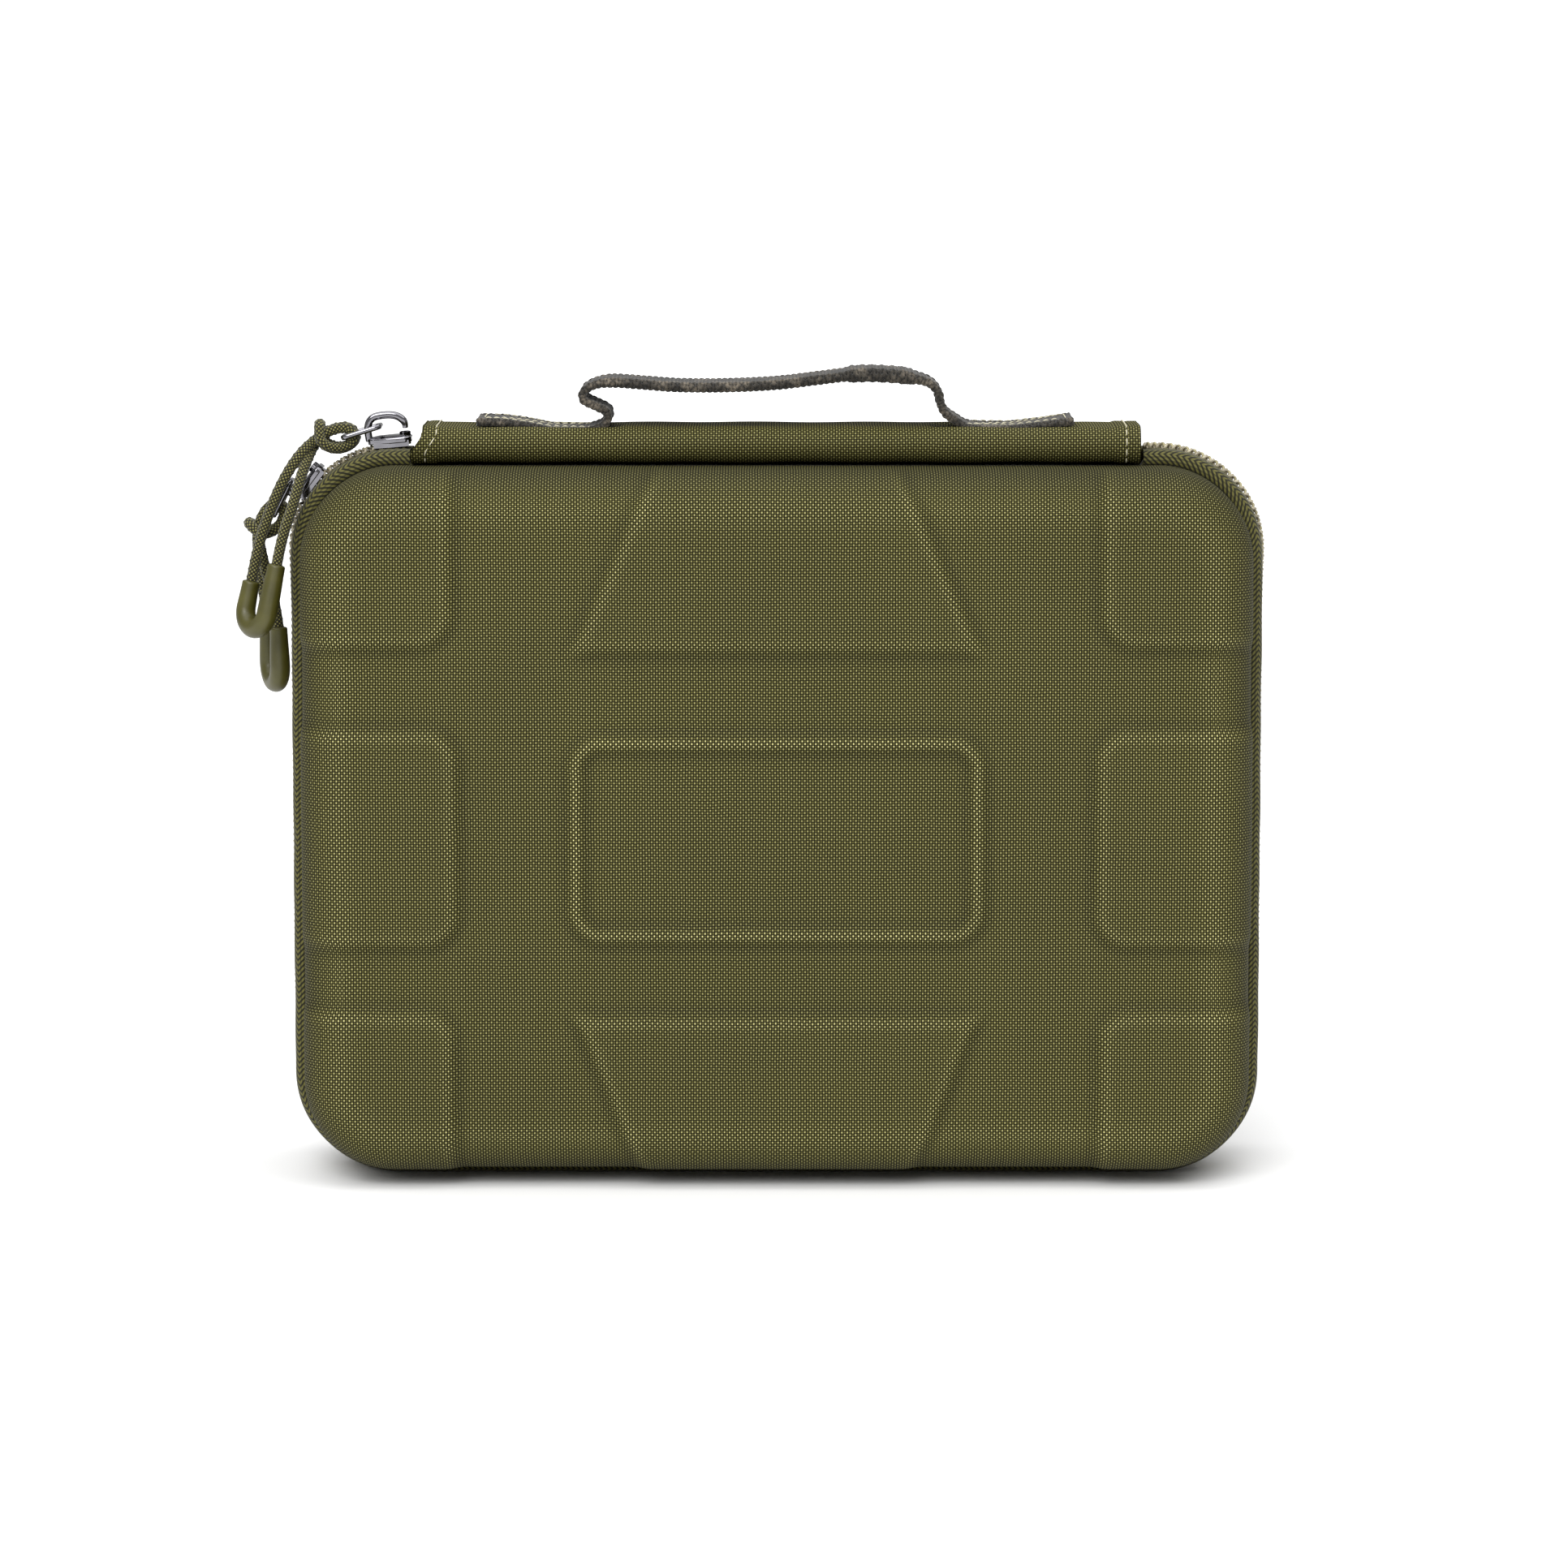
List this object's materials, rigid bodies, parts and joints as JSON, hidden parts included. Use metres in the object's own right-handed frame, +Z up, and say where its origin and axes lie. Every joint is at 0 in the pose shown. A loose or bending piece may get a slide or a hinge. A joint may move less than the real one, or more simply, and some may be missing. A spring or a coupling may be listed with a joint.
{
  "type": "moulded zip case",
  "caption": "Moulded case of two woven-fabric half shells that open flat about a padded spine, with a coil zipper, a webbing handle and corded pulls.",
  "frame": {"origin": "on the surface it stands on, in the zipper's middle plane, midway along the case", "axes": "+X along the case to its right, -Y towards its front face, +Z up to the handle"},
  "size_m": [0.3168, 0.085, 0.2503],
  "materials": {
    "shell_foam": "closed-cell foam",
    "case_fabric": "plain weave, 600 denier look, coated",
    "lining_fabric": "fire-resistant coated cloth",
    "binding_tape": "ribbed tape",
    "zipper_tape": "herringbone tape",
    "zipper_coil": "nylon coil",
    "mesh_net": "knitted net",
    "webbing": "patterned webbing",
    "slider_metal": "polished",
    "pull_cord": "braided cord",
    "pull_rubber": "moulded, satin"
  },
  "bodies": {
    "back": {"back_shell": "shell_foam", "back_cover": "case_fabric", "back_lining": "lining_fabric", "back_binding": "binding_tape", "back_zipper_tape": "zipper_tape", "back_zipper_coil": "zipper_coil", "divider_left": "lining_fabric", "divider_right": "lining_fabric"},
    "spine": {"spine_panel": "case_fabric", "spine_lining": "lining_fabric", "spine_core": "shell_foam", "spine_hem_left": "case_fabric", "spine_hem_right": "case_fabric", "handle_end_left": "webbing", "handle_end_right": "webbing"},
    "lid": {"front_shell": "shell_foam", "front_cover": "case_fabric", "front_lining": "lining_fabric", "front_binding": "binding_tape", "front_zipper_tape": "zipper_tape", "front_zipper_coil": "zipper_coil", "mesh_pocket": "mesh_net", "pocket_binding": "binding_tape"},
    "handle": {"handle_grip": "webbing", "handle_riser_left": "webbing", "handle_riser_right": "webbing"},
    "slider_a": {"slider_plate_a": "slider_metal", "slider_crown_a": "slider_metal"},
    "slider_b": {"slider_plate_b": "slider_metal", "slider_crown_b": "slider_metal"},
    "tab_a": {"pull_tab_a": "slider_metal"},
    "tab_b": {"pull_tab_b": "slider_metal"},
    "cord_a": {"pull_cord_a": "pull_cord", "pull_end_a": "pull_rubber"},
    "cord_b": {"pull_cord_b": "pull_cord", "pull_end_b": "pull_rubber"}
  },
  "joints": [
    {"name": "spine_hinge", "type": "hinge", "parent": "back", "child": "spine", "pos_m": [0, 0.012, 0.2273], "axis": [-1, 0, 0], "range_deg": [0, 90]},
    {"name": "lid_hinge", "type": "hinge", "parent": "spine", "child": "lid", "pos_m": [0, -0.012, 0.2273], "axis": [-1, 0, 0], "range_deg": [0, 90]},
    {"name": "handle_lift", "type": "slide", "parent": "spine", "child": "handle", "axis": [0, 0, 1], "range_m": [-0.006, 0.003], "stiffness_N_per_m": 60, "deforming": ["handle_riser_left", "handle_riser_right"]},
    {"name": "slider_a_travel", "type": "hinge", "parent": "lid", "child": "slider_a", "pos_m": [-0.11725, 0, 0.193], "axis": [0, -1, 0], "range_deg": [0, 2]},
    {"name": "slider_b_travel", "type": "hinge", "parent": "lid", "child": "slider_b", "pos_m": [-0.11725, 0, 0.193], "axis": [0, -1, 0], "range_deg": [0, 36]},
    {"name": "tab_a_swing", "type": "hinge", "parent": "slider_a", "child": "tab_a", "pos_m": [-0.12269, 0, 0.23228], "axis": [0, 1, 0], "range_deg": [0, 40]},
    {"name": "tab_b_swing", "type": "hinge", "parent": "slider_b", "child": "tab_b", "pos_m": [-0.15008, 0, 0.21524], "axis": [0, 1, 0], "range_deg": [0, 36]},
    {"name": "cord_a_swing", "type": "hinge", "parent": "tab_a", "child": "cord_a", "pos_m": [-0.13374, 0, 0.2289], "axis": [0, 1, 0], "range_deg": [0, 45]},
    {"name": "cord_b_swing", "type": "hinge", "parent": "tab_b", "child": "cord_b", "pos_m": [-0.15532, 0, 0.20494], "axis": [0, 1, 0], "range_deg": [0, 45]}
  ],
  "couplings": [
    {"joint": "spine_hinge", "follows": "lid_hinge", "ratio": 1},
    {"joint": "tab_b_swing", "follows": "slider_b_travel", "ratio": 1}
  ]
}
